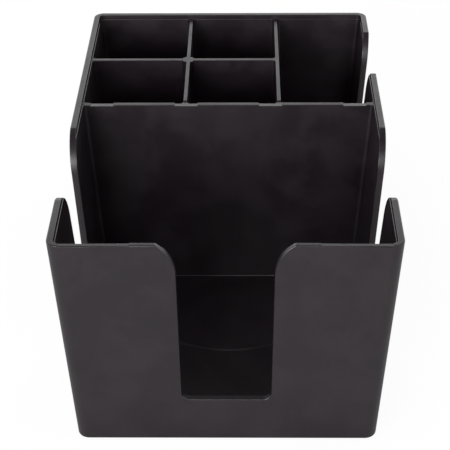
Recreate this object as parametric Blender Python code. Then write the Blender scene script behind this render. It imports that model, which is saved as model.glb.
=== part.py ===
"""Bar caddy with a napkin bay, four small cells and one long bay.

The caddy is one drafted injection moulding that stands on four rubber feet.
Everything is in metres with +Z up and X across the caddy. The napkin bay is at -Y.
The origin lies under the middle of the caddy, on the surface it stands on.
"""

import functools
import math

import bmesh
import bpy

# Overall size of the moulding, and how far each wall stands in at the base
RIM_WIDTH = 0.1524
RIM_DEPTH = 0.2413
BODY_HEIGHT = 0.1080
SIDE_SETBACK = 0.0072
FRONT_SETBACK = 0.0026
BACK_SETBACK = 0.0028
OUTER_CORNER = 0.0054
BASE_EDGE = 0.0012

# Outer walls, measured across at the rim, and what they gain down to the base
SIDE_WALL = 0.0033
FRONT_WALL = 0.0029
BACK_WALL = 0.0034
WALL_GAIN = 0.0001
FLOOR_WALL = 0.0028

# Inner walls: their tops stand below the rim, and each face leans out towards the floor.
# The cross divider runs across the four cells, the two other dividers from front to back
DIVIDER_DROP = 0.0024
RIM_STEP = 0.0003
DIVIDER = 0.0018
CROSS_DIVIDER = 0.0025
DIVIDER_LEAN = 0.0005
NAPKIN_WALL = 0.0028
NAPKIN_WALL_LEAN = 0.0016

# Clear spaces between the walls, at the rim
NAPKIN_BAY_DEPTH = 0.1303
FRONT_CELL_DEPTH = 0.0487
LEFT_CELL_WIDTH = 0.0503
MIDDLE_CELL_WIDTH = 0.0454
CELL_CORNER = 0.0020
FLOOR_FILLET = 0.0012

# Finger notch in the front wall. A notch's width is measured under its shoulders, and
# the shoulders' degrees say how far their arc turns before it meets the rim
SHOULDER = 0.0186
NOTCH_WIDTH = 0.0424
NOTCH_NARROWING = 0.0019
NOTCH_SILL_HEIGHT = 0.0238
NOTCH_CORNER = 0.0038
NOTCH_SHOULDER_DEGREES = 56.5

# Dips in the side walls, each a little behind the middle of its bay: a pair at the
# napkin bay, and one at the long bay
NAPKIN_DIP_WIDTH = 0.0373
NAPKIN_DIP_NARROWING = 0.0084
NAPKIN_DIP_SETBACK = 0.0031
NAPKIN_DIP_SHOULDER_DEGREES = 80.0
LONG_BAY_DIP_WIDTH = 0.0328
LONG_BAY_DIP_NARROWING = 0.0057
LONG_BAY_DIP_SETBACK = 0.0022
LONG_BAY_DIP_SHOULDER_DEGREES = 58.5
DIP_SILL_HEIGHT = 0.0238
DIP_CORNER = 0.0060

# Marks that the mould's ejectors leave on the wall tops: four blades spaced evenly along the
# napkin wall, and one on the front wall beside each corner
NAPKIN_BLADES = 4
NAPKIN_BLADE_WIDTH = 0.0116
NAPKIN_BLADE_INSET = 0.0095
NAPKIN_BLADE_DEPTH = 0.0006
FRONT_BLADE_WIDTH = 0.0306
FRONT_BLADE_MARGIN = 0.0050
FRONT_BLADE_DEPTH = 0.00045
BLADE_MARGIN = 0.0002
CROSSING_BOSS_RADIUS = 0.0034
CROSSING_BOSS_LEAN = 0.0005

# Round pad pressed up in the floor, with the gate mark of the mould under it
FLOOR_PAD_RADIUS = 0.0547
FLOOR_PAD_RISE = 0.0006
GATE_DIMPLE_RADIUS = 0.0045
GATE_DIMPLE_DEPTH = 0.0005
GATE_STUB_RADIUS = 0.0012
GATE_STUB_HEIGHT = 0.0003

# Underside: a shallow recess inside a flat land, and a round boss at each foot
BASE_LAND = 0.0055
BASE_RECESS = 0.0008
BASE_RECESS_CORNER = 0.0060
FOOT_BOSS_WALL = 0.0020

# Rubber feet, stuck into round seats in the bosses
FOOT_RADIUS = 0.0060
FOOT_EDGE = 0.0006
FOOT_PROJECTION = 0.00075
FOOT_SEAT_DEPTH = 0.0012
FOOT_GAP = 0.0003
FOOT_INSET_X = 0.0140
FOOT_INSET_Y = 0.0150

# How far cutters run past what they cut, and how finely round shapes are divided
CUT_OVERRUN = 0.0040
CORNER_STEPS = 6
EDGE_STEPS = 4
SHOULDER_STEPS = 12
ROUND_STEPS = 48
PAD_STEPS = 120
LEAST_CORNER_SHARE = 0.15
SHOULDER_END_SHARE = 0.97
RUN_OUT_SHARE = 2.0
SMOOTH_DEGREES = 30.0

# Heights of the main faces
BASE_LEVEL = FOOT_PROJECTION
RIM_LEVEL = BASE_LEVEL + BODY_HEIGHT
FLOOR_LEVEL = BASE_LEVEL + FLOOR_WALL
DIVIDER_LEVEL = RIM_LEVEL - DIVIDER_DROP
ABOVE_RIM = RIM_LEVEL + CUT_OVERRUN
BELOW_BASE = BASE_LEVEL - CUT_OVERRUN

# Front and left faces of the inner walls at the rim
NAPKIN_WALL_Y = -RIM_DEPTH / 2 + FRONT_WALL + NAPKIN_BAY_DEPTH
CROSS_DIVIDER_Y = NAPKIN_WALL_Y + NAPKIN_WALL + FRONT_CELL_DEPTH
MIDDLE_DIVIDER_X = -RIM_WIDTH / 2 + SIDE_WALL + LEFT_CELL_WIDTH
BAY_DIVIDER_X = MIDDLE_DIVIDER_X + DIVIDER + MIDDLE_CELL_WIDTH

# Middle of each dip
NAPKIN_DIP_Y = NAPKIN_WALL_Y - NAPKIN_BAY_DEPTH / 2 + NAPKIN_DIP_SETBACK
LONG_BAY_MIDDLE_Y = (NAPKIN_WALL_Y + NAPKIN_WALL + RIM_DEPTH / 2 - BACK_WALL) / 2
LONG_BAY_DIP_Y = LONG_BAY_MIDDLE_Y + LONG_BAY_DIP_SETBACK


def clear_scene():
    """Remove every object that the scene starts with."""
    for old in list(bpy.data.objects):
        bpy.data.objects.remove(old, do_unlink=True)


def plain_material(name, colour, roughness):
    """A Principled material with one colour and roughness, not metallic."""
    material = bpy.data.materials.new(name)
    material.use_nodes = True
    shader = material.node_tree.nodes["Principled BSDF"]
    shader.inputs["Base Color"].default_value = (*colour, 1.0)
    shader.inputs["Roughness"].default_value = roughness
    shader.inputs["Metallic"].default_value = 0.0
    return material


def object_from_bmesh(name, shape, material=None):
    """Turn a bmesh into an object in the scene, shaded smooth between sharp edges."""
    bmesh.ops.recalc_face_normals(shape, faces=shape.faces)
    mesh = bpy.data.meshes.new(name)
    shape.to_mesh(mesh)
    shape.free()
    mesh.shade_smooth()
    mesh.set_sharp_from_angle(angle=math.radians(SMOOTH_DEGREES))
    if material is not None:
        mesh.materials.append(material)
    made = bpy.data.objects.new(name, mesh)
    bpy.context.scene.collection.objects.link(made)
    return made


def as_cutter(tool):
    """Mark an object as a cutter, which is not a piece of the caddy."""
    tool.hide_render = True
    tool.display_type = "WIRE"
    return tool


def boolean(target, tool, operation):
    """Add a live exact Boolean of tool to target."""
    modifier = target.modifiers.new(f"{operation.lower()} {tool.name}", "BOOLEAN")
    modifier.operation = operation
    modifier.solver = "EXACT"
    modifier.object = tool


def arc(centre, radius, start, end, steps):
    """Points on an arc, from the start angle to the end angle in degrees."""
    points = []
    for step in range(steps + 1):
        angle = math.radians(start + (end - start) * step / steps)
        points.append((centre[0] + radius * math.cos(angle), centre[1] + radius * math.sin(angle)))
    return points


def rounded_outline(plan, corner):
    """Counter-clockwise outline of a rectangle (low x, high x, low y, high y) with round corners."""
    low_x, high_x, low_y, high_y = plan
    points = []
    points += arc((low_x + corner, low_y + corner), corner, 180, 270, CORNER_STEPS)
    points += arc((high_x - corner, low_y + corner), corner, 270, 360, CORNER_STEPS)
    points += arc((high_x - corner, high_y - corner), corner, 0, 90, CORNER_STEPS)
    points += arc((low_x + corner, high_y - corner), corner, 90, 180, CORNER_STEPS)
    return points


def inset_plan(plan, distance):
    """The same rectangle with every side moved in by a distance."""
    low_x, high_x, low_y, high_y = plan
    return (low_x + distance, high_x - distance, low_y + distance, high_y - distance)


def loft(name, rings, material=None):
    """A closed body through rings of points (x, y, z) that all have the same count."""
    shape = bmesh.new()
    loops = [[shape.verts.new(point) for point in ring] for ring in rings]
    count = len(loops[0])
    shape.faces.new(list(reversed(loops[0])))
    for lower, upper in zip(loops, loops[1:]):
        for step in range(count):
            after = (step + 1) % count
            shape.faces.new((lower[step], lower[after], upper[after], upper[step]))
    shape.faces.new(loops[-1])
    return object_from_bmesh(name, shape, material)


def drafted_block(name, plan_at, low, high, corner, edge, material=None):
    """A block whose sides follow plan_at(z), with round upright corners and a round lower edge."""
    levels = []
    for step in range(EDGE_STEPS):
        angle = math.radians(90 * step / EDGE_STEPS)
        levels.append((low + edge * (1 - math.cos(angle)), edge * (1 - math.sin(angle))))
    levels += [(low + edge, 0), (high, 0)]
    rings = []
    for level, inset in levels:
        plan = inset_plan(plan_at(level), inset)
        radius = max(corner - inset, corner * LEAST_CORNER_SHARE)
        rings.append([(x, y, level) for x, y in rounded_outline(plan, radius)])
    return loft(name, rings, material)


def upright_block(name, plan, low, high):
    """A plain box on a rectangle (low x, high x, low y, high y)."""
    low_x, high_x, low_y, high_y = plan
    outline = [(low_x, low_y), (high_x, low_y), (high_x, high_y), (low_x, high_y)]
    return loft(name, [[(x, y, level) for x, y in outline] for level in (low, high)])


def round_post(name, centre, profile, steps, material=None):
    """A turned body on an upright axis, through (radius, height) pairs from the bottom up.

    Its flats face along X and Y, so no edge of it meets the edge of a square corner around it.
    """
    rings = []
    for radius, level in profile:
        ring = []
        for step in range(steps):
            angle = math.tau * (step + 1 / 2) / steps
            x = centre[0] + radius * math.cos(angle)
            y = centre[1] + radius * math.sin(angle)
            ring.append((x, y, level))
        rings.append(ring)
    return loft(name, rings, material)


def drop_share(z):
    """How far z lies below the rim, as a share of the moulding's height."""
    return (RIM_LEVEL - z) / BODY_HEIGHT


def outer_plan(z):
    """The moulding's outer faces at height z."""
    drop = drop_share(z)
    half_width = RIM_WIDTH / 2 - drop * SIDE_SETBACK
    front = -RIM_DEPTH / 2 + drop * FRONT_SETBACK
    back = RIM_DEPTH / 2 - drop * BACK_SETBACK
    return (-half_width, half_width, front, back)


def inner_plan(z):
    """The inner faces of the four outer walls at height z."""
    low_x, high_x, low_y, high_y = outer_plan(z)
    gain = drop_share(z) * WALL_GAIN
    side = SIDE_WALL + gain
    return (low_x + side, high_x - side, low_y + FRONT_WALL + gain, high_y - BACK_WALL - gain)


def rim_opening_plan(z):
    """The space inside the rim, above the dividers, where the walls step back a little."""
    return inset_plan(inner_plan(z), -RIM_STEP)


def compartment_plans(z):
    """Plan of every compartment at height z, by name."""
    left, right, front, back = inner_plan(z)
    drop = drop_share(z)
    lean = drop * DIVIDER_LEAN
    napkin_front = NAPKIN_WALL_Y - drop * NAPKIN_WALL_LEAN
    napkin_back = NAPKIN_WALL_Y + NAPKIN_WALL + lean
    cross_front = CROSS_DIVIDER_Y - lean
    cross_back = CROSS_DIVIDER_Y + CROSS_DIVIDER + lean
    middle_left = MIDDLE_DIVIDER_X - lean
    middle_right = MIDDLE_DIVIDER_X + DIVIDER + lean
    bay_left = BAY_DIVIDER_X - lean
    bay_right = BAY_DIVIDER_X + DIVIDER + lean
    return {
        "napkin_bay": (left, right, front, napkin_front),
        "front_left_cell": (left, middle_left, napkin_back, cross_front),
        "front_middle_cell": (middle_right, bay_left, napkin_back, cross_front),
        "back_left_cell": (left, middle_left, cross_back, back),
        "back_middle_cell": (middle_right, bay_left, cross_back, back),
        "long_bay": (bay_right, right, napkin_back, back),
    }


def compartment_plan(name, z):
    """Plan of one compartment at height z."""
    return compartment_plans(z)[name]


def notch_outline(width, narrowing, sill_level, corner, shoulder_degrees):
    """Outline across a U-shaped notch as (across, height), open at the top.

    The sides lean in a little towards the sill, the sill's corners are round, and
    at the top each side turns outwards in a wide arc. The arc stops just short of
    the rim and runs out straight through it, as far above it as it ends below.
    """
    half_sill = (width - narrowing) / 2
    right = arc((half_sill - corner, sill_level + corner), corner, 270, 360, CORNER_STEPS)
    drop = SHOULDER * math.sin(math.radians(shoulder_degrees))
    turn = shoulder_degrees * SHOULDER_END_SHARE
    right += arc((width / 2 + SHOULDER, RIM_LEVEL - drop), SHOULDER, 180, 180 - turn, SHOULDER_STEPS)
    end_across, end_height = right[-1]
    rise = RUN_OUT_SHARE * (RIM_LEVEL - end_height)
    run_out = rise * math.tan(math.radians(turn))
    right.append((end_across + run_out, end_height + rise))
    right.append((end_across + run_out, ABOVE_RIM))
    left = [(-across, height) for across, height in reversed(right)]
    return right + left


def front_notch_cutter():
    """Cutter for the finger notch: its outline carried back through the front wall."""
    sill_level = BASE_LEVEL + NOTCH_SILL_HEIGHT
    outline = notch_outline(
        NOTCH_WIDTH, NOTCH_NARROWING, sill_level, NOTCH_CORNER, NOTCH_SHOULDER_DEGREES
    )
    front = -RIM_DEPTH / 2 - CUT_OVERRUN
    back = -RIM_DEPTH / 2 + FRONT_SETBACK + FRONT_WALL + WALL_GAIN + CUT_OVERRUN
    rings = [[(across, y, height) for across, height in outline] for y in (front, back)]
    return as_cutter(loft("front notch cutter", rings))


def side_dip_cutter(name, outline, centre_y, low_x, high_x):
    """Cutter for a dip in a side wall: its outline carried along X."""
    rings = [[(x, centre_y + across, height) for across, height in outline] for x in (low_x, high_x)]
    return as_cutter(loft(name, rings))


def side_dip_cutters():
    """Cutters for the pair of dips at the napkin bay, and for the one at the long bay."""
    sill_level = BASE_LEVEL + DIP_SILL_HEIGHT
    past_side = RIM_WIDTH / 2 + CUT_OVERRUN
    bay_low_x, bay_high_x = compartment_plans(FLOOR_LEVEL)["long_bay"][:2]
    bay_middle = (bay_low_x + bay_high_x) / 2
    napkin = notch_outline(
        NAPKIN_DIP_WIDTH, NAPKIN_DIP_NARROWING, sill_level, DIP_CORNER, NAPKIN_DIP_SHOULDER_DEGREES
    )
    long_bay = notch_outline(
        LONG_BAY_DIP_WIDTH, LONG_BAY_DIP_NARROWING, sill_level, DIP_CORNER, LONG_BAY_DIP_SHOULDER_DEGREES
    )
    return [
        side_dip_cutter("napkin dip cutter", napkin, NAPKIN_DIP_Y, -past_side, past_side),
        side_dip_cutter("long bay dip cutter", long_bay, LONG_BAY_DIP_Y, bay_middle, past_side),
    ]


def blade_cutters():
    """Cutters for the shallow steps that the ejector blades leave on two wall tops."""
    cutters = []
    wall_front = NAPKIN_WALL_Y - NAPKIN_WALL_LEAN - CUT_OVERRUN
    wall_back = NAPKIN_WALL_Y + NAPKIN_WALL + DIVIDER_LEAN * drop_share(DIVIDER_LEVEL) + BLADE_MARGIN
    first_x = -RIM_WIDTH / 2 + SIDE_WALL + NAPKIN_BLADE_INSET
    for blade in range(NAPKIN_BLADES):
        middle_x = first_x - 2 * first_x * blade / (NAPKIN_BLADES - 1)
        low_x = middle_x - NAPKIN_BLADE_WIDTH / 2
        plan = (low_x, low_x + NAPKIN_BLADE_WIDTH, wall_front, wall_back)
        name = f"napkin wall blade cutter {blade}"
        cutters.append(upright_block(name, plan, DIVIDER_LEVEL - NAPKIN_BLADE_DEPTH, ABOVE_RIM))
    far_x = RIM_WIDTH / 2 - FRONT_BLADE_MARGIN
    near_x = far_x - FRONT_BLADE_WIDTH
    past_front = -RIM_DEPTH / 2 - CUT_OVERRUN
    past_back = -RIM_DEPTH / 2 + FRONT_WALL + CUT_OVERRUN
    for side, low_x, high_x in (("left", -far_x, -near_x), ("right", near_x, far_x)):
        plan = (low_x, high_x, past_front, past_back)
        name = f"front wall blade cutter {side}"
        cutters.append(upright_block(name, plan, RIM_LEVEL - FRONT_BLADE_DEPTH, ABOVE_RIM))
    return [as_cutter(cutter) for cutter in cutters]


def foot_places():
    """Name and centre of every foot."""
    low_x, high_x, low_y, high_y = outer_plan(BASE_LEVEL)
    across = {"left": low_x + FOOT_INSET_X, "right": high_x - FOOT_INSET_X}
    along = {"front": low_y + FOOT_INSET_Y, "back": high_y - FOOT_INSET_Y}
    return {f"foot_{end}_{side}": (x, y) for end, y in along.items() for side, x in across.items()}


def underside_cutters():
    """Cutters for the recess around the foot bosses, the round pad's hollow and the foot seats."""
    recess_top = BASE_LEVEL + BASE_RECESS
    land_plan = inset_plan(outer_plan(BASE_LEVEL), BASE_LAND)
    outline = rounded_outline(land_plan, BASE_RECESS_CORNER)
    recess = loft("base recess cutter", [[(x, y, z) for x, y in outline] for z in (BELOW_BASE, recess_top)])
    seat_radius = FOOT_RADIUS + FOOT_GAP
    boss_radius = seat_radius + FOOT_BOSS_WALL
    cutters = [recess]
    for name, centre in foot_places().items():
        profile = [(boss_radius, BELOW_BASE - CUT_OVERRUN), (boss_radius, recess_top + CUT_OVERRUN)]
        boss = as_cutter(round_post(f"{name} boss", centre, profile, ROUND_STEPS))
        boolean(recess, boss, "DIFFERENCE")
        profile = [(seat_radius, BELOW_BASE), (seat_radius, BASE_LEVEL + FOOT_SEAT_DEPTH)]
        cutters.append(round_post(f"{name} seat cutter", centre, profile, ROUND_STEPS))
    hollow_top = recess_top + FLOOR_PAD_RISE
    profile = [(FLOOR_PAD_RADIUS, BELOW_BASE), (FLOOR_PAD_RADIUS, hollow_top)]
    cutters.append(round_post("floor pad hollow cutter", (0, 0), profile, PAD_STEPS))
    profile = [(GATE_DIMPLE_RADIUS, BELOW_BASE), (GATE_DIMPLE_RADIUS, hollow_top + GATE_DIMPLE_DEPTH)]
    dimple = round_post("gate dimple cutter", (0, 0), profile, ROUND_STEPS)
    stub_bottom = hollow_top + GATE_DIMPLE_DEPTH - GATE_STUB_HEIGHT
    profile = [(GATE_STUB_RADIUS, stub_bottom), (GATE_STUB_RADIUS, hollow_top + CUT_OVERRUN)]
    stub = as_cutter(round_post("gate stub", (0, 0), profile, ROUND_STEPS))
    boolean(dimple, stub, "DIFFERENCE")
    cutters.append(dimple)
    return [as_cutter(cutter) for cutter in cutters]


def floor_pad():
    """The round pad that stands up from the floor, with a bevelled edge."""
    top = FLOOR_LEVEL + FLOOR_PAD_RISE
    middle = FLOOR_LEVEL - FLOOR_PAD_RISE
    profile = [
        (FLOOR_PAD_RADIUS, middle),
        (FLOOR_PAD_RADIUS, FLOOR_LEVEL),
        (FLOOR_PAD_RADIUS - FLOOR_PAD_RISE, top),
    ]
    return as_cutter(round_post("floor pad", (0, 0), profile, PAD_STEPS))


def crossing_boss():
    """The round boss where two dividers cross, which an ejector pin pushes on."""
    centre = (MIDDLE_DIVIDER_X + DIVIDER / 2, CROSS_DIVIDER_Y + CROSS_DIVIDER / 2)
    foot = FLOOR_LEVEL - FLOOR_PAD_RISE
    rim_radius = CROSSING_BOSS_RADIUS
    floor_radius = rim_radius + CROSSING_BOSS_LEAN
    profile = [(floor_radius, foot), (rim_radius, RIM_LEVEL - RIM_STEP)]
    return as_cutter(round_post("crossing boss", centre, profile, ROUND_STEPS))


def caddy_body(material):
    """The whole moulding: a drafted block with its compartments, notches and marks cut out."""
    body = drafted_block(
        "caddy_body", outer_plan, BASE_LEVEL, RIM_LEVEL, OUTER_CORNER, BASE_EDGE, material
    )
    for name in compartment_plans(RIM_LEVEL):
        plan_at = functools.partial(compartment_plan, name)
        pocket = drafted_block(
            f"{name} cutter", plan_at, FLOOR_LEVEL, ABOVE_RIM, CELL_CORNER, FLOOR_FILLET
        )
        boolean(body, as_cutter(pocket), "DIFFERENCE")
    boolean(body, floor_pad(), "UNION")
    boolean(body, crossing_boss(), "UNION")
    outline_corner = CELL_CORNER + RIM_STEP
    rings = []
    for level in (DIVIDER_LEVEL, ABOVE_RIM):
        outline = rounded_outline(rim_opening_plan(level), outline_corner)
        rings.append([(x, y, level) for x, y in outline])
    boolean(body, as_cutter(loft("rim opening cutter", rings)), "DIFFERENCE")
    boolean(body, front_notch_cutter(), "DIFFERENCE")
    for cutter in side_dip_cutters() + blade_cutters() + underside_cutters():
        boolean(body, cutter, "DIFFERENCE")
    return body


def rubber_foot(name, centre, material):
    """A round rubber foot: flat sole, rounded lower edge, and a flat top stuck into its seat."""
    top = BASE_LEVEL + FOOT_SEAT_DEPTH - FOOT_GAP
    profile = []
    for step in range(EDGE_STEPS + 1):
        angle = math.radians(90 * step / EDGE_STEPS)
        radius = FOOT_RADIUS - FOOT_EDGE * (1 - math.sin(angle))
        profile.append((radius, FOOT_EDGE * (1 - math.cos(angle))))
    profile.append((FOOT_RADIUS, top))
    return round_post(name, centre, profile, ROUND_STEPS, material)


def build():
    """Make the caddy and its feet."""
    clear_scene()
    plastic = plain_material("black plastic", (0.045, 0.042, 0.045), 0.5)
    rubber = plain_material("black rubber", (0.018, 0.018, 0.019), 0.8)
    caddy_body(plastic)
    for name, centre in foot_places().items():
        rubber_foot(name, centre, rubber)


build()
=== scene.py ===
"""Looks of a black bar caddy: its moulded body, rubber feet, studio and camera.

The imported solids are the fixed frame, so every length is in metres in their frame,
with +Z up and the napkin bay at -Y. The moulding is computed again here on fine
curves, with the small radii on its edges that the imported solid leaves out.
"""

import logging
import math
from dataclasses import dataclass, field
from enum import Enum

import bpy
import numpy as np
from mathutils import Matrix, Vector


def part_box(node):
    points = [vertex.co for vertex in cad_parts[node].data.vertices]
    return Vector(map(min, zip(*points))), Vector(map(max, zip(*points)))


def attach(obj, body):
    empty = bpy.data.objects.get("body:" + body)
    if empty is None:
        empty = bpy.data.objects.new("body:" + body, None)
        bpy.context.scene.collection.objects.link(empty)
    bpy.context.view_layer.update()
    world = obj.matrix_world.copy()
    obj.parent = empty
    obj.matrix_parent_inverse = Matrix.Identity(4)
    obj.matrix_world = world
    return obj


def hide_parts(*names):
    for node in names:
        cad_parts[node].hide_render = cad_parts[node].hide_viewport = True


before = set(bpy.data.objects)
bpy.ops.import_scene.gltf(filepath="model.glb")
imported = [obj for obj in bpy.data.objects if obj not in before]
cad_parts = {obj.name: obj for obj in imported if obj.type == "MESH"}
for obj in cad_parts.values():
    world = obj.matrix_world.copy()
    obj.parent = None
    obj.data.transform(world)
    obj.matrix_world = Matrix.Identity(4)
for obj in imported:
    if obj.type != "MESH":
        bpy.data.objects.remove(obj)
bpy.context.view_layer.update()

LOG = logging.getLogger("bar_caddy")
BODY = "root"

# Low x, high x, low y and high y of a rectangle.
Plan = tuple[float, float, float, float]
Colour = tuple[float, float, float]


class Cut(Enum):
    """What a tool shape does to the body it meets."""

    AWAY = "DIFFERENCE"
    JOIN = "UNION"


class Wall(Enum):
    """Which outer walls a notch is cut in."""

    FRONT = "front"
    RIGHT = "right"
    BOTH_SIDES = "both sides"


def corner_ring(plan: Plan, radius: float, steps: int) -> np.ndarray:
    """Outline of a rectangle with round corners, counter-clockwise.

    Around each corner's centre c the points are c + radius * (cos a, sin a), where a
    runs through a quarter turn from 180, 270, 0 and 90 degrees in turn.

    Args:
        plan: Low x, high x, low y and high y of the rectangle.
        radius: Radius of its corners.
        steps: Steps in each corner.

    Returns:
        Points in an array of shape (4 * (steps + 1), 2).
    """
    low_x, high_x, low_y, high_y = plan
    quarter = np.linspace(0.0, math.pi / 2, steps + 1)
    starts = np.radians([180.0, 270.0, 0.0, 90.0])
    angles = starts[:, None] + quarter[None, :]
    centres = np.array(
        [
            (low_x + radius, low_y + radius),
            (high_x - radius, low_y + radius),
            (high_x - radius, high_y - radius),
            (low_x + radius, high_y - radius),
        ]
    )
    directions = np.stack((np.cos(angles), np.sin(angles)), axis=-1)
    return (centres[:, None, :] + radius * directions).reshape(-1, 2)


def inset(plan: Plan, distance: float) -> Plan:
    """The rectangle with each side moved in by a distance."""
    low_x, high_x, low_y, high_y = plan
    return (low_x + distance, high_x - distance, low_y + distance, high_y - distance)


def room_in(plan: Plan, x: np.ndarray, y: np.ndarray) -> np.ndarray:
    """How far each point lies inside a rectangle's nearest side, below 0 outside it."""
    low_x, high_x, low_y, high_y = plan
    return np.min((x - low_x, high_x - x, y - low_y, high_y - y), axis=0)


def arc(
    centre: tuple[float, float], radius: float, start: float, end: float, steps: int
) -> np.ndarray:
    """Points centre + radius * (cos a, sin a), with a from start to end degrees."""
    angles = np.radians(np.linspace(start, end, steps + 1))
    return np.array(centre) + radius * np.stack((np.cos(angles), np.sin(angles)), axis=-1)


def lofted(name: str, rings: np.ndarray) -> bpy.types.Object:
    """A closed body through a stack of rings.

    Point i of ring k joins point i of ring k + 1 and the next point of both, and the
    first and last ring are filled.

    Args:
        name: Name of the object.
        rings: Points in an array of shape (rings, points, 3), from the bottom up and
            counter-clockwise from above.

    Returns:
        The new object, linked to the scene.
    """
    count, around, _ = rings.shape
    index = np.arange(count * around).reshape(count, around)
    low, high = index[:-1], index[1:]
    sides = np.stack((low, np.roll(low, -1, axis=1), np.roll(high, -1, axis=1), high), axis=-1)
    faces = sides.reshape(-1, 4).tolist()
    faces += [index[0, ::-1].tolist(), index[-1].tolist()]
    mesh = bpy.data.meshes.new(name)
    mesh.from_pydata(rings.reshape(-1, 3).tolist(), [], faces)
    mesh.validate()
    made = bpy.data.objects.new(name, mesh)
    bpy.context.scene.collection.objects.link(made)
    return made


def at_levels(outlines: np.ndarray, levels: np.ndarray) -> np.ndarray:
    """Rings (rings, points, 3) from outlines (rings, points, 2) and a height for each."""
    heights = np.broadcast_to(levels[:, None, None], (*outlines.shape[:2], 1))
    return np.concatenate((outlines, heights), axis=-1)


def turned(
    name: str, centre: tuple[float, float], profile: np.ndarray, steps: int
) -> bpy.types.Object:
    """A body turned about an upright axis.

    Point (k, i) is centre + r_k * (cos a_i, sin a_i) at height z_k, with a_i = 2 pi
    (i + 1/2) / steps, so the flats face along X and Y.

    Args:
        name: Name of the object.
        centre: Where the axis stands.
        profile: Radius and height pairs from the bottom up, of shape (rings, 2).
        steps: Steps around.

    Returns:
        The new object.
    """
    angles = math.tau * (np.arange(steps) + 0.5) / steps
    circle = np.stack((np.cos(angles), np.sin(angles)), axis=-1)
    outlines = np.array(centre) + profile[:, 0, None, None] * circle[None]
    return lofted(name, at_levels(outlines, profile[:, 1]))


def shape_with(body: bpy.types.Object, tools: list[tuple[Cut, bpy.types.Object]]) -> None:
    """Cut or join each tool in turn, keep the result as the body's mesh and drop the tools.

    Args:
        body: The body to shape.
        tools: What each tool does, and the tool.
    """
    for cut, tool in tools:
        modifier = body.modifiers.new(tool.name, "BOOLEAN")
        modifier.operation = cut.value
        modifier.solver = "EXACT"
        modifier.material_mode = "TRANSFER"
        modifier.object = tool
    depsgraph = bpy.context.evaluated_depsgraph_get()
    result = bpy.data.meshes.new_from_object(body.evaluated_get(depsgraph))
    body.modifiers.clear()
    body.data = result
    for _, tool in tools:
        bpy.data.objects.remove(tool, do_unlink=True)


def read_all(
    items: bpy.types.bpy_prop_collection, name: str, width: int, kind: type
) -> np.ndarray:
    """Read a property of all vertices, edges, loops or faces of a mesh.

    Args:
        items: The mesh's list of them.
        name: The property.
        width: Values in it.
        kind: Type of these values.

    Returns:
        An array of shape (items, width), or (items,) for a single value.
    """
    values = np.empty(len(items) * width, dtype=kind)
    items.foreach_get(name, values)
    return values.reshape(-1, width) if width > 1 else values


@dataclass
class Edges:
    """Both ends of a mesh's edges, which of them turn outward, and by how many degrees."""

    ends: np.ndarray
    outward: np.ndarray
    turns: np.ndarray

    @classmethod
    def of(cls, mesh: bpy.types.Mesh) -> "Edges":
        """Survey a closed mesh.

        With n1 and n2 the normals of an edge's faces and t its direction in the first
        of them, it is outward where (n1 x n2) . t > 0, and turns by arccos(n1 . n2).

        Args:
            mesh: The mesh.

        Returns:
            What the class holds, with one row for each edge.
        """
        places = read_all(mesh.vertices, "co", 3, float)
        ends = read_all(mesh.edges, "vertices", 2, int)
        loop_edges = read_all(mesh.loops, "edge_index", 1, int)
        loop_starts = read_all(mesh.loops, "vertex_index", 1, int)
        normals = read_all(mesh.polygons, "normal", 3, float)
        corners = read_all(mesh.polygons, "loop_total", 1, int)
        loop_faces = np.repeat(np.arange(len(normals)), corners)
        first = np.unique(loop_edges, return_index=True)[1]
        last = len(loop_edges) - 1 - np.unique(loop_edges[::-1], return_index=True)[1]
        one, other = normals[loop_faces[first]], normals[loop_faces[last]]
        along = places[ends[:, 1]] - places[ends[:, 0]]
        along[loop_starts[first] != ends[:, 0]] *= -1.0
        outward = np.einsum("ij,ij->i", np.cross(one, other), along) > 0.0
        turns = np.degrees(np.arccos(np.clip(np.einsum("ij,ij->i", one, other), -1.0, 1.0)))
        return cls(places[ends], outward, turns)


@dataclass(frozen=True)
class Notch:
    """A U-shaped opening in an outer wall, open at the rim.

    Its sides lean in a little towards the sill, the sill's corners are round, and at
    the rim each side turns outwards in a wide arc. The arc ends a little early and runs
    on straight, to as far above the rim as its end lies below it.
    """

    name: str
    wall: Wall
    width: float
    narrowing: float
    corner: float
    shoulder_degrees: float
    middle: float = 0.0
    sill_height: float = 0.0238
    shoulder: float = 0.0186
    shoulder_end_share: float = 0.97
    corner_steps: int = 12
    shoulder_steps: int = 28
    clear_of_ledge: float = 0.0004

    def outline(self, base: float, rim: float, ledge: float, above: float) -> np.ndarray:
        """The notch's outline as (across, height) pairs, counter-clockwise.

        Args:
            base: Height of the moulding's base.
            rim: Height of the rim.
            ledge: Height of the ledge inside the rim. The arcs have no point within
                clear_of_ledge of it, so that the edge round passes it undisturbed.
            above: A height clear above the rim, where the outline closes.

        Returns:
            Points of shape (points, 2), the right half first and the left mirrored.
        """
        half_sill = (self.width - self.narrowing) / 2
        centre = (half_sill - self.corner, base + self.sill_height + self.corner)
        low = arc(centre, self.corner, 270.0, 360.0, self.corner_steps)
        shoulder_rise = self.shoulder * math.sin(math.radians(self.shoulder_degrees))
        centre = (self.width / 2 + self.shoulder, rim - shoulder_rise)
        turn = self.shoulder_degrees * self.shoulder_end_share
        high = arc(centre, self.shoulder, 180.0, 180.0 - turn, self.shoulder_steps)
        high = high[np.abs(high[:, 1] - ledge) > self.clear_of_ledge]
        rise = 2.0 * (rim - high[-1, 1])
        run_out = high[-1] + np.array((rise * math.tan(math.radians(turn)), rise))
        right = np.concatenate((low, high, run_out[None], [(run_out[0], above)]))
        return np.concatenate((right, right[::-1] * (-1.0, 1.0)))


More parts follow.
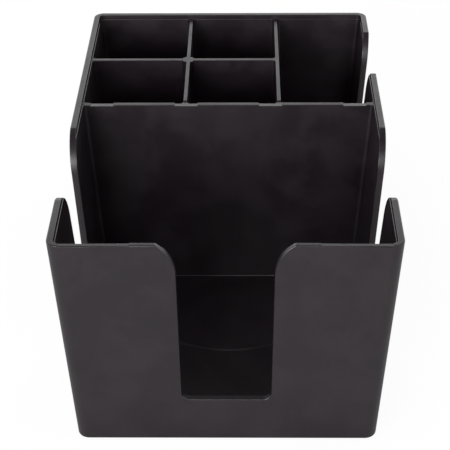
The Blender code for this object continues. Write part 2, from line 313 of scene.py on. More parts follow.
@dataclass
class Moulding:
    """The caddy's body: outer walls, floor, napkin wall, dividers and mould marks."""

    name: str = "moulded_body"
    # Outer walls and floor.
    side_setback: float = 0.0072
    front_setback: float = 0.0026
    back_setback: float = 0.0028
    outer_corner: float = 0.0054
    base_edge: float = 0.0012
    side_wall: float = 0.0033
    front_wall: float = 0.0029
    back_wall: float = 0.0034
    wall_gain: float = 0.0001
    floor_wall: float = 0.0028
    # Napkin wall, dividers and compartments.
    divider_drop: float = 0.0024
    rim_step: float = 0.0003
    divider: float = 0.0018
    cross_divider: float = 0.0025
    divider_lean: float = 0.0005
    napkin_wall: float = 0.0028
    napkin_wall_lean: float = 0.0016
    napkin_bay_depth: float = 0.1303
    front_cell_depth: float = 0.0487
    left_cell_width: float = 0.0503
    middle_cell_width: float = 0.0454
    cell_corner: float = 0.0020
    least_corner_share: float = 0.15
    floor_fillet: float = 0.0012
    napkin_dip_setback: float = 0.0031
    bay_dip_setback: float = 0.0022
    # Marks that the mould leaves, and the floor's pad.
    napkin_blades: int = 4
    napkin_blade_width: float = 0.0116
    napkin_blade_inset: float = 0.0095
    napkin_blade_depth: float = 0.0006
    front_blade_width: float = 0.0306
    front_blade_margin: float = 0.0050
    front_blade_depth: float = 0.00045
    blade_margin: float = 0.0022
    crossing_boss_radius: float = 0.0033
    crossing_boss_lean: float = 0.0005
    pad_radius: float = 0.0547
    pad_rise: float = 0.0006
    gate_dimple_radius: float = 0.0045
    gate_dimple_depth: float = 0.0005
    gate_stub_radius: float = 0.0012
    gate_stub_height: float = 0.0003
    # Underside and seats of the feet.
    base_land: float = 0.0055
    base_recess: float = 0.0008
    base_recess_corner: float = 0.0060
    foot_boss_wall: float = 0.0020
    seat_radius: float = 0.0063
    seat_depth: float = 0.0012
    foot_inset: tuple[float, float] = (0.0140, 0.0150)
    # Rounding of the edges.
    edge_radius: float = 0.0005
    edge_steps: int = 3
    edge_angle: float = 24.0
    sharp_angle: float = 40.0
    inner_share: float = 0.5
    low_share: float = 0.3
    tolerance: float = 0.00003
    # Reach of the tools past the body, and fineness of its curves.
    overrun: float = 0.0040
    corner_steps: int = 12
    fillet_steps: int = 7
    round_steps: int = 96
    pad_steps: int = 180
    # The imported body's box.
    low: Vector = field(default_factory=lambda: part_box("caddy_body")[0])
    high: Vector = field(default_factory=lambda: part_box("caddy_body")[1])

    def __post_init__(self) -> None:
        """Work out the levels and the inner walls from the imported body's box."""
        self.base = self.low.z
        self.rim = self.high.z
        self.floor = self.base + self.floor_wall
        self.divider_top = self.rim - self.divider_drop
        self.above = self.rim + self.overrun
        self.below = self.base - self.overrun
        self.napkin_wall_y = self.low.y + self.front_wall + self.napkin_bay_depth
        self.cross_divider_y = self.napkin_wall_y + self.napkin_wall + self.front_cell_depth
        self.middle_divider_x = self.low.x + self.side_wall + self.left_cell_width
        self.bay_divider_x = self.middle_divider_x + self.divider + self.middle_cell_width

    def drop(self, z: float | np.ndarray) -> float | np.ndarray:
        """How far z lies below the rim, as a share of the body's height."""
        return (self.rim - z) / (self.rim - self.base)

    def outer_plan(self, z: float | np.ndarray) -> Plan:
        """The outer faces of the walls, which stand in towards the base.

        Args:
            z: A height, or an array of heights.

        Returns:
            Their plan at that height, or arrays of its four values.
        """
        drop = self.drop(z)
        side = drop * self.side_setback
        front = self.low.y + drop * self.front_setback
        back = self.high.y - drop * self.back_setback
        return (self.low.x + side, self.high.x - side, front, back)

    def inner_plan(self, z: float | np.ndarray) -> Plan:
        """The inner faces of the outer walls.

        Args:
            z: A height, or an array of heights.

        Returns:
            Their plan at that height, or arrays of its four values.
        """
        low_x, high_x, low_y, high_y = self.outer_plan(z)
        gain = self.drop(z) * self.wall_gain
        side = self.side_wall + gain
        front, back = self.front_wall + gain, self.back_wall + gain
        return (low_x + side, high_x - side, low_y + front, high_y - back)

    def compartment_plans(self, z: float) -> dict[str, Plan]:
        """The six compartments between the walls and dividers.

        Args:
            z: A height.

        Returns:
            Each compartment's plan at that height, by its name.
        """
        left, right, front, back = self.inner_plan(z)
        lean = self.drop(z) * self.divider_lean
        napkin_front = self.napkin_wall_y - self.drop(z) * self.napkin_wall_lean
        napkin_back = self.napkin_wall_y + self.napkin_wall + lean
        cross_front = self.cross_divider_y - lean
        cross_back = self.cross_divider_y + self.cross_divider + lean
        middle_left = self.middle_divider_x - lean
        middle_right = self.middle_divider_x + self.divider + lean
        bay_left = self.bay_divider_x - lean
        bay_right = self.bay_divider_x + self.divider + lean
        return {
            "napkin bay": (left, right, front, napkin_front),
            "front left cell": (left, middle_left, napkin_back, cross_front),
            "front middle cell": (middle_right, bay_left, napkin_back, cross_front),
            "back left cell": (left, middle_left, cross_back, back),
            "back middle cell": (middle_right, bay_left, cross_back, back),
            "long bay": (bay_right, right, napkin_back, back),
        }

    def drafted(
        self, name: str, plans: list[Plan], levels: np.ndarray, radii: np.ndarray
    ) -> bpy.types.Object:
        """A block with round upright corners.

        Args:
            name: Name of the object.
            plans: Plan of each ring of points, from the bottom up.
            levels: Height of each ring.
            radii: Radius of each ring's corners.

        Returns:
            The new object.
        """
        outlines = np.stack(
            [corner_ring(plan, radius, self.corner_steps) for plan, radius in zip(plans, radii)]
        )
        return lofted(name, at_levels(outlines, levels))

    def rounded_levels(
        self, low: float, high: float, edge: float
    ) -> tuple[np.ndarray, np.ndarray]:
        """Rings of a block whose lower edge is a quarter round.

        The round runs through low + edge (1 - cos a) with inset edge (1 - sin a), for a
        from 0 to 90 degrees.

        Args:
            low: Height of the block's lower face.
            high: Height of its upper face.
            edge: Radius of the round.

        Returns:
            The height of each ring, and its inset.
        """
        angles = np.linspace(0.0, math.pi / 2, self.fillet_steps + 1)
        levels = np.append(low + edge * (1.0 - np.cos(angles)), high)
        insets = np.append(edge * (1.0 - np.sin(angles)), 0.0)
        return levels, insets

    def shell(self) -> bpy.types.Object:
        """The outer block, before anything is cut out of it.

        Returns:
            The new object.
        """
        levels, insets = self.rounded_levels(self.base, self.rim, self.base_edge)
        plans = [inset(self.outer_plan(z), distance) for z, distance in zip(levels, insets)]
        return self.drafted(self.name, plans, levels, self.outer_corner - insets)

    def pockets(self) -> list[bpy.types.Object]:
        """Blocks that cut the compartments, with filleted floors and corners.

        Returns:
            One new object for each compartment.
        """
        levels, insets = self.rounded_levels(self.floor, self.above, self.floor_fillet)
        radii = np.maximum(self.cell_corner - insets, self.cell_corner * self.least_corner_share)
        made = []
        for name in self.compartment_plans(self.rim):
            plans = [inset(self.compartment_plans(z)[name], gap) for z, gap in zip(levels, insets)]
            made.append(self.drafted(name, plans, levels, radii))
        return made

    def rim_opening(self) -> bpy.types.Object:
        """The space inside the rim above the dividers, a small step wider than the cells.

        Returns:
            The new object.
        """
        levels = np.array((self.divider_top, self.above))
        plans = [inset(self.inner_plan(z), -self.rim_step) for z in levels]
        radii = np.full(2, self.cell_corner + self.rim_step)
        return self.drafted("rim opening", plans, levels, radii)

    def notches(self) -> list[Notch]:
        """The finger notch in front and the dips in the side walls.

        Returns:
            The notches, each dip a little behind the middle of its compartment.
        """
        napkin_middle = self.napkin_wall_y - self.napkin_bay_depth / 2
        bay_middle = (self.napkin_wall_y + self.napkin_wall + self.high.y - self.back_wall) / 2
        return [
            Notch(
                name="finger notch",
                wall=Wall.FRONT,
                width=0.0424,
                narrowing=0.0019,
                corner=0.0038,
                shoulder_degrees=56.5,
            ),
            Notch(
                name="napkin dips",
                wall=Wall.BOTH_SIDES,
                width=0.0373,
                narrowing=0.0084,
                corner=0.0060,
                shoulder_degrees=80.0,
                middle=napkin_middle + self.napkin_dip_setback,
            ),
            Notch(
                name="long bay dip",
                wall=Wall.RIGHT,
                width=0.0328,
                narrowing=0.0057,
                corner=0.0060,
                shoulder_degrees=58.5,
                middle=bay_middle + self.bay_dip_setback,
            ),
        ]

    def notch_tool(self, notch: Notch) -> bpy.types.Object:
        """A notch's outline carried through its wall, or through both side walls.

        Args:
            notch: The notch.

        Returns:
            The new object.
        """
        outline = notch.outline(self.base, self.rim, self.divider_top, self.above)
        past_side = self.high.x + self.overrun
        bay = self.compartment_plans(self.floor)["long bay"]
        ends = {
            Wall.FRONT: (self.low.y - self.overrun, self.inner_plan(self.base)[2] + self.overrun),
            Wall.RIGHT: ((bay[0] + bay[1]) / 2, past_side),
            Wall.BOTH_SIDES: (-past_side, past_side),
        }[notch.wall]
        along = np.repeat(np.array(ends)[:, None], len(outline), axis=1)
        across = np.broadcast_to(outline[:, 0] + notch.middle, along.shape)
        height = np.broadcast_to(outline[:, 1], along.shape)
        if notch.wall is Wall.FRONT:
            rings = np.stack((across, along, height), axis=-1)[:, ::-1]
        else:
            rings = np.stack((along, across, height), axis=-1)
        return lofted(notch.name, rings)

    def blade_plans(self) -> list[tuple[Plan, float]]:
        """The marks that the ejector blades leave on the tops of the walls.

        Returns:
            The plan and the lower level of each mark.
        """
        back_lean = self.divider_lean * self.drop(self.divider_top)
        front = self.napkin_wall_y - self.napkin_wall_lean - self.overrun
        back = self.napkin_wall_y + self.napkin_wall + back_lean + self.blade_margin
        reach = self.high.x - self.side_wall - self.napkin_blade_inset
        half = self.napkin_blade_width / 2
        low = self.divider_top - self.napkin_blade_depth
        middles = np.linspace(-reach, reach, self.napkin_blades)
        plans = [((x - half, x + half, front, back), low) for x in middles]
        far = self.high.x - self.front_blade_margin
        near = far - self.front_blade_width
        ends = (self.low.y - self.overrun, self.low.y + self.front_wall + self.overrun)
        low = self.rim - self.front_blade_depth
        return plans + [((-far, -near, *ends), low), ((near, far, *ends), low)]

    def blade_tools(self) -> list[bpy.types.Object]:
        """Blocks that cut the marks of the ejector blades into the wall tops.

        Returns:
            One new object for each mark.
        """
        made = []
        for (low_x, high_x, low_y, high_y), low in self.blade_plans():
            outline = [(low_x, low_y), (high_x, low_y), (high_x, high_y), (low_x, high_y)]
            rings = at_levels(np.array((outline, outline)), np.array((low, self.above)))
            made.append(lofted("blade mark", rings))
        return made

    def crossing_boss(self) -> bpy.types.Object:
        """The round boss where two dividers cross, which an ejector pin pushes on.

        Returns:
            The new object, which the rim opening cuts flush with the dividers.
        """
        x = self.middle_divider_x + self.divider / 2
        y = self.cross_divider_y + self.cross_divider / 2
        low = (self.crossing_boss_radius + self.crossing_boss_lean, self.floor - self.pad_rise)
        high = (self.crossing_boss_radius, self.rim - self.rim_step)
        return turned("crossing boss", (x, y), np.array((low, high)), self.round_steps)

    def floor_pad(self) -> bpy.types.Object:
        """The round pad that stands up from the floor, with a bevelled edge.

        Returns:
            The new object.
        """
        radius, rise = self.pad_radius, self.pad_rise
        low, high = self.floor - rise, self.floor + rise
        profile = np.array(((radius, low), (radius, self.floor), (radius - rise, high)))
        return turned("floor pad", (0.0, 0.0), profile, self.pad_steps)

    def underside_tools(self) -> list[bpy.types.Object]:
        """Shapes that cut the recess, the foot seats, the pad's hollow and the gate mark.

        Returns:
            The new objects. The recess spares the bosses round the seats.
        """
        recess_top = self.base + self.base_recess
        seat_top = self.base + self.seat_depth
        hollow_top = recess_top + self.pad_rise
        dimple_top = hollow_top + self.gate_dimple_depth
        stub_low = dimple_top - self.gate_stub_height
        boss_radius = self.seat_radius + self.foot_boss_wall
        boss_low, boss_high = 2 * self.below, recess_top + self.overrun
        plan = self.outer_plan(self.base)
        low_x, high_x, low_y, high_y = plan
        recess_plan = inset(plan, self.base_land)
        outline = corner_ring(recess_plan, self.base_recess_corner, self.corner_steps)
        levels = np.array((self.below, recess_top))
        recess = lofted("base recess", at_levels(np.stack((outline, outline)), levels))
        inset_x, inset_y = self.foot_inset
        bosses, tools = [], [recess]
        for x in (low_x + inset_x, high_x - inset_x):
            for y in (low_y + inset_y, high_y - inset_y):
                boss = self.post("foot boss", (x, y), boss_radius, boss_low, boss_high)
                bosses.append((Cut.AWAY, boss))
                seat = self.post("foot seat", (x, y), self.seat_radius, self.below, seat_top)
                tools.append(seat)
        shape_with(recess, bosses)
        middle = (0.0, 0.0)
        tools.append(self.post("pad hollow", middle, self.pad_radius, self.below, hollow_top))
        dimple = self.post("gate dimple", middle, self.gate_dimple_radius, self.below, dimple_top)
        stub = self.post("gate stub", middle, self.gate_stub_radius, stub_low, self.above)
        shape_with(dimple, [(Cut.AWAY, stub)])
        tools.append(dimple)
        return tools

    def post(
        self, name: str, centre: tuple[float, float], radius: float, low: float, high: float
    ) -> bpy.types.Object:
        """A plain round post."""
        return turned(name, centre, np.array(((radius, low), (radius, high))), self.round_steps)

    def edge_shares(self, edges: Edges) -> np.ndarray:
        """How much of the edge radius each edge of the body takes, from 0 to 1.

        Outward edges that turn by more than edge_angle are rounded: with the whole
        radius outside, with inner_share of it inside the walls and with low_share of it
        at the floor and base. Each chain of edges keeps one share, so that no round runs
        into its neighbour. The ends of the ejector marks and the short edges where
        notches cross the ledge inside the rim stay sharp.

        Args:
            edges: The edges of the body's mesh.

        Returns:
            One share for each edge.
        """
        x, y, z = edges.ends.mean(axis=1).T
        shares = np.where(edges.outward & (edges.turns > self.edge_angle), 1.0, 0.0)
        inside = room_in(self.inner_plan(z), x, y) > -self.front_wall / 2
        shares[inside] *= self.inner_share
        low_edge = z < self.floor + self.pad_rise + self.edge_radius
        shares[low_edge] = np.minimum(shares[low_edge], self.low_share)
        room = room_in(inset(self.inner_plan(self.divider_top), -self.rim_step), x, y)
        on_ledge = (room > self.tolerance) & (room < self.rim_step - self.tolerance)
        shares[on_ledge & (np.abs(z - self.divider_top) < self.tolerance)] = 0.0
        for (low_x, high_x, _, high_y), low in self.blade_plans():
            for axis, place in ((0, low_x), (0, high_x), (1, high_y)):
                off_end = np.abs(edges.ends[:, :, axis] - place).max(axis=1)
                shares[(off_end < self.tolerance) & (z > low - self.tolerance)] = 0.0
        return shares

    def round_edges(self, body: bpy.types.Object, smooth_edge_painted_highlight: bpy.types.Material) -> None:
        """Round the outward edges, giving the rounds a smoother finish and a painted highlight.

        Args:
            body: The body.
            smooth_edge_painted_highlight: Finish of the rounds, smoother, its lighter colour a
                painted highlight.
        """
        edges = Edges.of(body.data)
        shares = self.edge_shares(edges)
        sharp = (shares == 0.0) & (edges.turns > self.sharp_angle)
        attributes = body.data.attributes
        attributes.new("bevel_weight_edge", "FLOAT", "EDGE").data.foreach_set("value", shares)
        attributes.new("sharp_edge", "BOOLEAN", "EDGE").data.foreach_set("value", sharp)
        # The rounds take the edge finish, whose lighter colour paints a highlight on them
        body.data.materials.append(smooth_edge_painted_highlight)
        bevel = body.modifiers.new("edge radius", "BEVEL")
        bevel.width = self.edge_radius
        bevel.segments = self.edge_steps
        bevel.limit_method = "WEIGHT"
        bevel.use_clamp_overlap = False
        bevel.material = len(body.data.materials) - 1
        weighted = body.modifiers.new("face normals", "WEIGHTED_NORMAL")
        weighted.keep_sharp = True

    def build(
        self,
        plastic: bpy.types.Material,
        smooth_edge_painted_highlight: bpy.types.Material,
        ejector_mark: bpy.types.Material,
    ) -> bpy.types.Object:
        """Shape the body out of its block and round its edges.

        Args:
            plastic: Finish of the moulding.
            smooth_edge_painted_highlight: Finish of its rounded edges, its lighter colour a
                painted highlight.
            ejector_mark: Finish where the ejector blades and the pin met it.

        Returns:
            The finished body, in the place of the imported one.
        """
        body, pad, boss = self.shell(), self.floor_pad(), self.crossing_boss()
        marks, pockets = self.blade_tools(), self.pockets()
        openings = [self.rim_opening()] + [self.notch_tool(notch) for notch in self.notches()]
        openings += self.underside_tools()
        for piece in [body, pad, *pockets, *openings]:
            piece.data.materials.append(plastic)
        for piece in [boss, *marks]:
            piece.data.materials.append(ejector_mark)
        tools = [(Cut.AWAY, tool) for tool in pockets] + [(Cut.JOIN, pad), (Cut.JOIN, boss)]
        shape_with(body, tools + [(Cut.AWAY, tool) for tool in openings + marks])
        body.data.shade_smooth()
        self.round_edges(body, smooth_edge_painted_highlight)
        return body


@dataclass(frozen=True)
class View:
    """The photograph's viewpoint, fitted to the edges of the object in it.

    Angles are in radians, and the lens and sensor in millimetres.
    """

    place: tuple[float, float, float] = (0.008524, -0.623217, 0.435582)
    yaw: float = -0.016787
    pitch: float = 0.561748
    roll: float = -0.009167
    lens: float = 114.05
    sensor: float = 36.0

    def build(self) -> bpy.types.Object:
        """Make the camera, looking forward and down, turned a little about its axis.

        Returns:
            The camera.
        """
        ahead_level = Vector((math.sin(self.yaw), math.cos(self.yaw), 0.0))
        right_level = Vector((math.cos(self.yaw), -math.sin(self.yaw), 0.0))
        up_world = Vector((0.0, 0.0, 1.0))
        ahead = ahead_level * math.cos(self.pitch) - up_world * math.sin(self.pitch)
        up_level = ahead_level * math.sin(self.pitch) + up_world * math.cos(self.pitch)
        right = right_level * math.cos(self.roll) + up_level * math.sin(self.roll)
        up = -right_level * math.sin(self.roll) + up_level * math.cos(self.roll)
        data = bpy.data.cameras.new("photo camera")
        data.lens = self.lens
        data.sensor_width = self.sensor
        camera = bpy.data.objects.new("photo camera", data)
        turn = Matrix((right, up, -ahead)).transposed()
        camera.matrix_world = Matrix.Translation(self.place) @ turn.to_4x4()
        bpy.context.scene.collection.objects.link(camera)
        bpy.context.scene.camera = camera
        return camera


@dataclass
class Wiring:
    """Adds nodes to a material's, world's or group's tree and joins their sockets."""

    tree: bpy.types.NodeTree

    def add(self, kind: str, **settings: object) -> bpy.types.Node:
        """Make a node.

        Args:
            kind: Blender's type name of the node.
            **settings: Values for its properties, or for its inputs by their names.

        Returns:
            The new node.
        """
        node = self.tree.nodes.new(kind)
        for name, value in settings.items():
            if hasattr(node, name):
                setattr(node, name, value)
            else:
                node.inputs[name.replace("_", " ").title()].default_value = value
        return node

    def join(self, source: bpy.types.NodeSocket, target: bpy.types.NodeSocket) -> None:
        """Join an output to an input."""
        self.tree.links.new(source, target)

    def between(
        self, mask: bpy.types.NodeSocket, first: bpy.types.Node, second: bpy.types.Node
    ) -> bpy.types.Node:
        """Mix two shaders.

        Args:
            mask: Gives the second shader's share.
            first: The shader where the mask is 0.
            second: The shader where it is 1.

        Returns:
            The new node.
        """
        mixed = self.add("ShaderNodeMixShader")
        for source, target in zip((mask, first.outputs[0], second.outputs[0]), mixed.inputs):
            self.join(source, target)
        return mixed

    def lay(
        self,
        size: bpy.types.NodeSocket,
        coarse: bpy.types.Node,
        fine: bpy.types.Node,
        finer_times: float,
    ) -> None:
        """Lay two textures on object coordinates.

        The coarse texture's scale is 1 / size, and the fine one's is finer_times as much.

        Args:
            size: Gives the size of one feature of the coarse texture in metres.
            coarse: The coarse texture.
            fine: The fine texture.
            finer_times: How many times finer the fine texture is.
        """
        place = self.add("ShaderNodeTexCoord")
        scale = self.add("ShaderNodeMath", operation="DIVIDE")
        scale.inputs[0].default_value = 1.0
        self.join(size, scale.inputs[1])
        finer = self.add("ShaderNodeMath", operation="MULTIPLY")
        finer.inputs[1].default_value = finer_times
        self.join(scale.outputs[0], finer.inputs[0])
        for texture, number in ((coarse, scale), (fine, finer)):
            self.join(place.outputs["Object"], texture.inputs["Vector"])
            self.join(number.outputs[0], texture.inputs["Scale"])


def new_group(
    name: str, length: str, output: str
) -> tuple[Wiring, bpy.types.Node, bpy.types.Node]:
    """An empty shader group that takes a length in metres and gives one value.

    Args:
        name: Name of the group.
        length: Name of its input.
        output: Name of its output.

    Returns:
        The group's wiring, its input node and its output node.
    """
    tree = bpy.data.node_groups.new(name, "ShaderNodeTree")
    tree.interface.new_socket(length, in_out="INPUT", socket_type="NodeSocketFloat")
    tree.interface.new_socket(output, in_out="OUTPUT", socket_type="NodeSocketFloat")
    wiring = Wiring(tree)
    return wiring, wiring.add("NodeGroupInput"), wiring.add("NodeGroupOutput")


def mottling_group() -> bpy.types.NodeTree:
    """Soft cloudy patches, such as a moulded face shows where the plastic cooled unevenly.

    The mask is a share of broad noise plus the rest of noise a few times finer, both on
    object coordinates, with one patch for each patch size.

    Returns:
        The group, which gives a mask about one half.
    """
    broad_share, finer_times = 0.7, 5.0
    wiring, given, result = new_group("cooling mottle", "Patch Size", "Mask")
    broad = wiring.add("ShaderNodeTexNoise", detail=2.0, roughness=0.5)
    fine = wiring.add("ShaderNodeTexNoise", detail=3.0, roughness=0.55)
    wiring.lay(given.outputs["Patch Size"], broad, fine, finer_times)
    weighted = wiring.add("ShaderNodeMath", operation="MULTIPLY")
    weighted.inputs[1].default_value = 1.0 - broad_share
    wiring.join(fine.outputs["Fac"], weighted.inputs[0])
    both = wiring.add("ShaderNodeMath", operation="MULTIPLY_ADD")
    both.inputs[1].default_value = broad_share
    wiring.join(broad.outputs["Fac"], both.inputs[0])
    wiring.join(weighted.outputs[0], both.inputs[2])
    wiring.join(both.outputs[0], result.inputs["Mask"])
    return wiring.tree


def grain_group() -> bpy.types.NodeTree:
    """The fine pitted grain that spark erosion leaves in a mould, as a bump height.

    The height is a share of the distance to the nearest of many scattered points, one
    for each grain size, plus noise at twice that fineness.

    Returns:
        The group, which gives a height about one half.
    """
    pit_share, finer_times = 0.6, 2.0
    wiring, given, result = new_group("spark grain", "Grain Size", "Height")
    pits = wiring.add("ShaderNodeTexVoronoi", feature="SMOOTH_F1")
    dust = wiring.add("ShaderNodeTexNoise", detail=3.0)
    wiring.lay(given.outputs["Grain Size"], pits, dust, finer_times)
    both = wiring.add("ShaderNodeMath", operation="MULTIPLY_ADD")
    both.inputs[1].default_value = pit_share
    wiring.join(pits.outputs["Distance"], both.inputs[0])
    wiring.join(dust.outputs["Fac"], both.inputs[2])
    wiring.join(both.outputs[0], result.inputs["Height"])
    return wiring.tree


@dataclass(frozen=True)
class Finish:
    """A moulded surface: its colours, shine, grain and mottling.

    The low and high colour and roughness are mixed by the mottling's mask.
    """

    name: str
    low_colour: Colour
    high_colour: Colour
    low_roughness: float
    high_roughness: float
    patch_size: float
    grain_size: float
    grain_depth: float
    ior: float = 1.53
    mask_range: tuple[float, float] = (0.38, 0.62)

    def build(self, mottling: bpy.types.NodeTree, grain: bpy.types.NodeTree) -> bpy.types.Material:
        """Make the material.

        Args:
            mottling: The group that gives the mottling's mask.
            grain: The group that gives the grain's height.

        Returns:
            The new material.
        """
        material = bpy.data.materials.new(self.name)
        material.use_nodes = True
        wiring = Wiring(material.node_tree)
        shader = material.node_tree.nodes["Principled BSDF"]
        shader.inputs["IOR"].default_value = self.ior
        clouds = wiring.add("ShaderNodeGroup", node_tree=mottling, patch_size=self.patch_size)
        low, high = self.mask_range
        spread = wiring.add(
            "ShaderNodeMapRange", interpolation_type="SMOOTHSTEP", from_min=low, from_max=high
        )
        wiring.join(clouds.outputs["Mask"], spread.inputs["Value"])
        colour = wiring.add("ShaderNodeMix", data_type="RGBA")
        wiring.join(spread.outputs["Result"], colour.inputs["Factor"])
        colour_a, colour_b = [socket for socket in colour.inputs if socket.type == "RGBA"]
        colour_a.default_value = (*self.low_colour, 1.0)
        colour_b.default_value = (*self.high_colour, 1.0)
        mixed = [socket for socket in colour.outputs if socket.type == "RGBA"][0]
        wiring.join(mixed, shader.inputs["Base Color"])
        low, high = self.low_roughness, self.high_roughness
        shine = wiring.add("ShaderNodeMapRange", to_min=low, to_max=high)
        wiring.join(spread.outputs["Result"], shine.inputs["Value"])
        wiring.join(shine.outputs["Result"], shader.inputs["Roughness"])
        pits = wiring.add("ShaderNodeGroup", node_tree=grain, grain_size=self.grain_size)
        bump = wiring.add("ShaderNodeBump", distance=self.grain_depth)
        wiring.join(pits.outputs["Height"], bump.inputs["Height"])
        wiring.join(bump.outputs["Normal"], shader.inputs["Normal"])
        return material


PLASTIC = Finish(
    name="black moulded plastic",
    low_colour=(0.0082, 0.0040, 0.0070),
    high_colour=(0.0115, 0.0068, 0.0100),
    low_roughness=0.36,
    high_roughness=0.42,
    patch_size=0.016,
    grain_size=0.0006,
    grain_depth=0.000012,
)
# Finish of the rounded edges: smoother than the plastic, and lighter in colour as a painted
# highlight along them
SMOOTH_EDGE_PAINTED_HIGHLIGHT = Finish(
    name="black plastic, smooth edges, painted highlight",
    low_colour=(0.0092, 0.0052, 0.0082),
    high_colour=(0.0125, 0.0082, 0.0112),
    low_roughness=0.20,
    high_roughness=0.27,
    patch_size=0.006,
    grain_size=0.0006,
    grain_depth=0.000004,
)
EJECTOR_MARK = Finish(
    name="black plastic, ejector marks",
    low_colour=(0.0088, 0.0048, 0.0078),
    high_colour=(0.0122, 0.0078, 0.0108),
    low_roughness=0.26,
    high_roughness=0.32,
    patch_size=0.004,
    grain_size=0.0003,
    grain_depth=0.000004,
)
RUBBER = Finish(
    name="black rubber",
    low_colour=(0.0110, 0.0108, 0.0112),
    high_colour=(0.0170, 0.0166, 0.0168),
    low_roughness=0.62,
    high_roughness=0.74,
    patch_size=0.003,
    grain_size=0.0004,
    grain_depth=0.00002,
)


@dataclass
class Foot:
    """A round rubber foot, stuck into its seat under a corner."""

    node: str
    edge_radius: float = 0.0006
    top_edge: float = 0.0002
    groove_radius: float = 0.0038
    groove_width: float = 0.0009
    groove_depth: float = 0.00025
    nib_radius: float = 0.0007
    nib_depth: float = 0.00012
    round_steps: int = 72
    edge_steps: int = 8
    flat_weight: int = 80

    def profile(self) -> np.ndarray:
        """Radius and height pairs from the middle of the sole out and up to the top.

        The sole has a small dimple in the middle and one ring groove, whose walls slope
        in by half its depth, and its edge is a quarter round.

        Returns:
            Points of shape (points, 2).
        """
        low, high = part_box(self.node)
        radius = (high.x - low.x) / 2
        half, slope = self.groove_width / 2, self.groove_depth / 2
        sole = [
            (self.nib_radius - slope, self.nib_depth),
            (self.nib_radius, 0.0),
            (self.groove_radius - half, 0.0),
            (self.groove_radius - half + slope, self.groove_depth),
            (self.groove_radius + half - slope, self.groove_depth),
            (self.groove_radius + half, 0.0),
        ]
        centre = (radius - self.edge_radius, self.edge_radius)
        edge = arc(centre, self.edge_radius, 270.0, 360.0, self.edge_steps)
        height = high.z - low.z
        top = [(radius, height - self.top_edge), (radius - self.top_edge, height)]
        return np.concatenate((sole, edge, top)) + (0.0, low.z)

    def build(self, rubber: bpy.types.Material) -> bpy.types.Object:
        """Make the foot.

        Args:
            rubber: Its material.

        Returns:
            The new piece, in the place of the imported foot.
        """
        low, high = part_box(self.node)
        centre = ((low.x + high.x) / 2, (low.y + high.y) / 2)
        foot = turned(f"rubber_{self.node}", centre, self.profile(), self.round_steps)
        foot.data.shade_smooth()
        foot.data.materials.append(rubber)
        weighted = foot.modifiers.new("face normals", "WEIGHTED_NORMAL")
        weighted.weight = self.flat_weight
        return foot


@dataclass(frozen=True)
class Softbox:
    """A rectangular soft lamp aimed at the caddy."""

    name: str
    place: tuple[float, float, float]
    size: tuple[float, float]
    radiance: float
    mirrored: bool = True
    aim: tuple[float, float, float] = (0.0, 0.0, 0.05)

    def build(self) -> bpy.types.Object:
        """Make the lamp, whose power is pi times its area times its radiance.

        Returns:
            The lamp.
        """
        data = bpy.data.lights.new(self.name, "AREA")
        data.shape = "RECTANGLE"
        data.size, data.size_y = self.size
        data.energy = math.pi * self.size[0] * self.size[1] * self.radiance
        lamp = bpy.data.objects.new(self.name, data)
        lamp.location = self.place
        ahead = Vector(self.aim) - Vector(self.place)
        lamp.rotation_euler = ahead.to_track_quat("-Z", "Y").to_euler()
        lamp.visible_camera = False
        lamp.visible_glossy = self.mirrored
        bpy.context.scene.collection.objects.link(lamp)
        return lamp


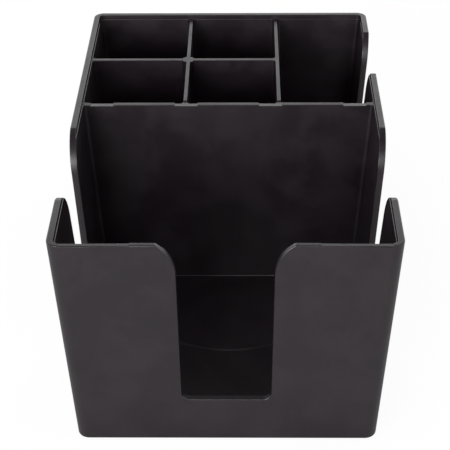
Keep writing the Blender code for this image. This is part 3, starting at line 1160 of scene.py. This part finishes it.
@dataclass
class Studio:
    """A white floor, soft boxes and a sky.

    The floor and the sky are nearly white to the camera, and have lights of their own
    that fall on the caddy and are mirrored in it.
    """

    floor_reach: float = 4.0
    floor_colour: Colour = (0.86, 0.86, 0.86)
    shown_colour: Colour = (0.10, 0.10, 0.10)
    shown_glow: float = 0.93
    sky_glow: float = 0.50
    seen_sky: float = 1.0
    mirrored_sky: float = 2.6
    mirrored_levels: tuple[tuple[float, float], ...] = (
        (0.00, 0.53),
        (0.34, 0.58),
        (0.41, 1.00),
        (0.47, 1.00),
        (0.54, 0.20),
        (0.64, 0.10),
        (0.87, 0.08),
    )
    boxes: tuple[Softbox, ...] = (
        Softbox(
            name="overhead soft box",
            place=(0.0, 0.10, 1.35),
            size=(1.5, 1.1),
            radiance=0.5,
            mirrored=False,
        ),
        Softbox(
            name="front soft box", place=(-1.05, -2.3, 0.72), size=(1.9, 0.96), radiance=8.4
        ),
    )

    def floor(self) -> bpy.types.Object:
        """A square floor, which the camera sees glow nearly white under the caddy's shadow.

        Returns:
            The floor.
        """
        reach = self.floor_reach
        corners = [(-reach, -reach, 0), (reach, -reach, 0), (reach, reach, 0), (-reach, reach, 0)]
        mesh = bpy.data.meshes.new("floor")
        mesh.from_pydata(corners, [], [(0, 1, 2, 3)])
        ground = bpy.data.objects.new("floor", mesh)
        bpy.context.scene.collection.objects.link(ground)
        material = bpy.data.materials.new("white floor")
        material.use_nodes = True
        material.node_tree.nodes.clear()
        wiring = Wiring(material.node_tree)
        output = wiring.add("ShaderNodeOutputMaterial")
        lit = wiring.add("ShaderNodeBsdfDiffuse")
        lit.inputs["Color"].default_value = (*self.floor_colour, 1.0)
        shown = wiring.add("ShaderNodeBsdfDiffuse")
        shown.inputs["Color"].default_value = (*self.shown_colour, 1.0)
        glow = wiring.add("ShaderNodeEmission", strength=self.shown_glow)
        seen = wiring.add("ShaderNodeAddShader")
        wiring.join(shown.outputs[0], seen.inputs[0])
        wiring.join(glow.outputs[0], seen.inputs[1])
        ray = wiring.add("ShaderNodeLightPath")
        either = wiring.between(ray.outputs["Is Camera Ray"], lit, seen)
        wiring.join(either.outputs[0], output.inputs["Surface"])
        mesh.materials.append(material)
        return ground

    def sky(self) -> None:
        """Make the world: white to the camera, dim as a lamp, and banded in reflections.

        What the caddy mirrors changes with the sine of its height above the horizon, as
        mirrored_levels gives it: brightest at about 26 degrees and dark overhead.
        """
        world = bpy.data.worlds.new("studio")
        bpy.context.scene.world = world
        world.use_nodes = True
        world.node_tree.nodes.clear()
        wiring = Wiring(world.node_tree)
        output = wiring.add("ShaderNodeOutputWorld")
        glows = []
        for strength in (self.sky_glow, self.mirrored_sky, self.seen_sky):
            glow = wiring.add("ShaderNodeBackground", strength=strength)
            glow.inputs["Color"].default_value = (1.0, 1.0, 1.0, 1.0)
            glows.append(glow)
        lit, banded, seen = glows
        place = wiring.add("ShaderNodeTexCoord")
        split = wiring.add("ShaderNodeSeparateXYZ")
        wiring.join(place.outputs["Generated"], split.inputs[0])
        fall = wiring.add("ShaderNodeValToRGB")
        stops = fall.color_ramp.elements
        for level, _ in self.mirrored_levels[1:-1]:
            stops.new(level)
        for stop, (level, share) in zip(stops, self.mirrored_levels):
            stop.position = level
            stop.color = (share, share, share, 1.0)
        wiring.join(split.outputs["Z"], fall.inputs["Fac"])
        wiring.join(fall.outputs["Color"], banded.inputs["Color"])
        ray = wiring.add("ShaderNodeLightPath")
        either = wiring.add("ShaderNodeMath", operation="MAXIMUM")
        wiring.join(ray.outputs["Is Glossy Ray"], either.inputs[0])
        wiring.join(ray.outputs["Is Transmission Ray"], either.inputs[1])
        mirrored = wiring.between(either.outputs[0], lit, banded)
        all_rays = wiring.between(ray.outputs["Is Camera Ray"], mirrored, seen)
        wiring.join(all_rays.outputs[0], output.inputs["Surface"])

    def build(self) -> bpy.types.Object:
        """Make the floor, the sky and the lamps.

        Returns:
            The floor.
        """
        ground = self.floor()
        self.sky()
        for box in self.boxes:
            box.build()
        return ground


def main() -> None:
    """Build the caddy and the studio, and report each piece."""
    logging.basicConfig(level=logging.INFO, format="%(name)s: %(message)s")
    mottling, grain = mottling_group(), grain_group()
    finishes = [finish.build(mottling, grain) for finish in (PLASTIC, SMOOTH_EDGE_PAINTED_HIGHLIGHT, EJECTOR_MARK)]
    rubber = RUBBER.build(mottling, grain)
    body = Moulding().build(*finishes)
    pieces = [(body, "caddy_body", "black_plastic")]
    feet = [Foot(name) for name in sorted(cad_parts) if name.startswith("foot_")]
    pieces += [(foot.build(rubber), foot.node, "black_rubber") for foot in feet]
    for piece, node, slot in pieces:
        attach(piece, BODY)
        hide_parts(node)
        LOG.info("%s stands for %s, with %d faces", piece.name, node, len(piece.data.polygons))
    View().build()
    Studio().build()
    bpy.context.scene.view_settings.view_transform = "Standard"


if __name__ == "__main__":
    main()
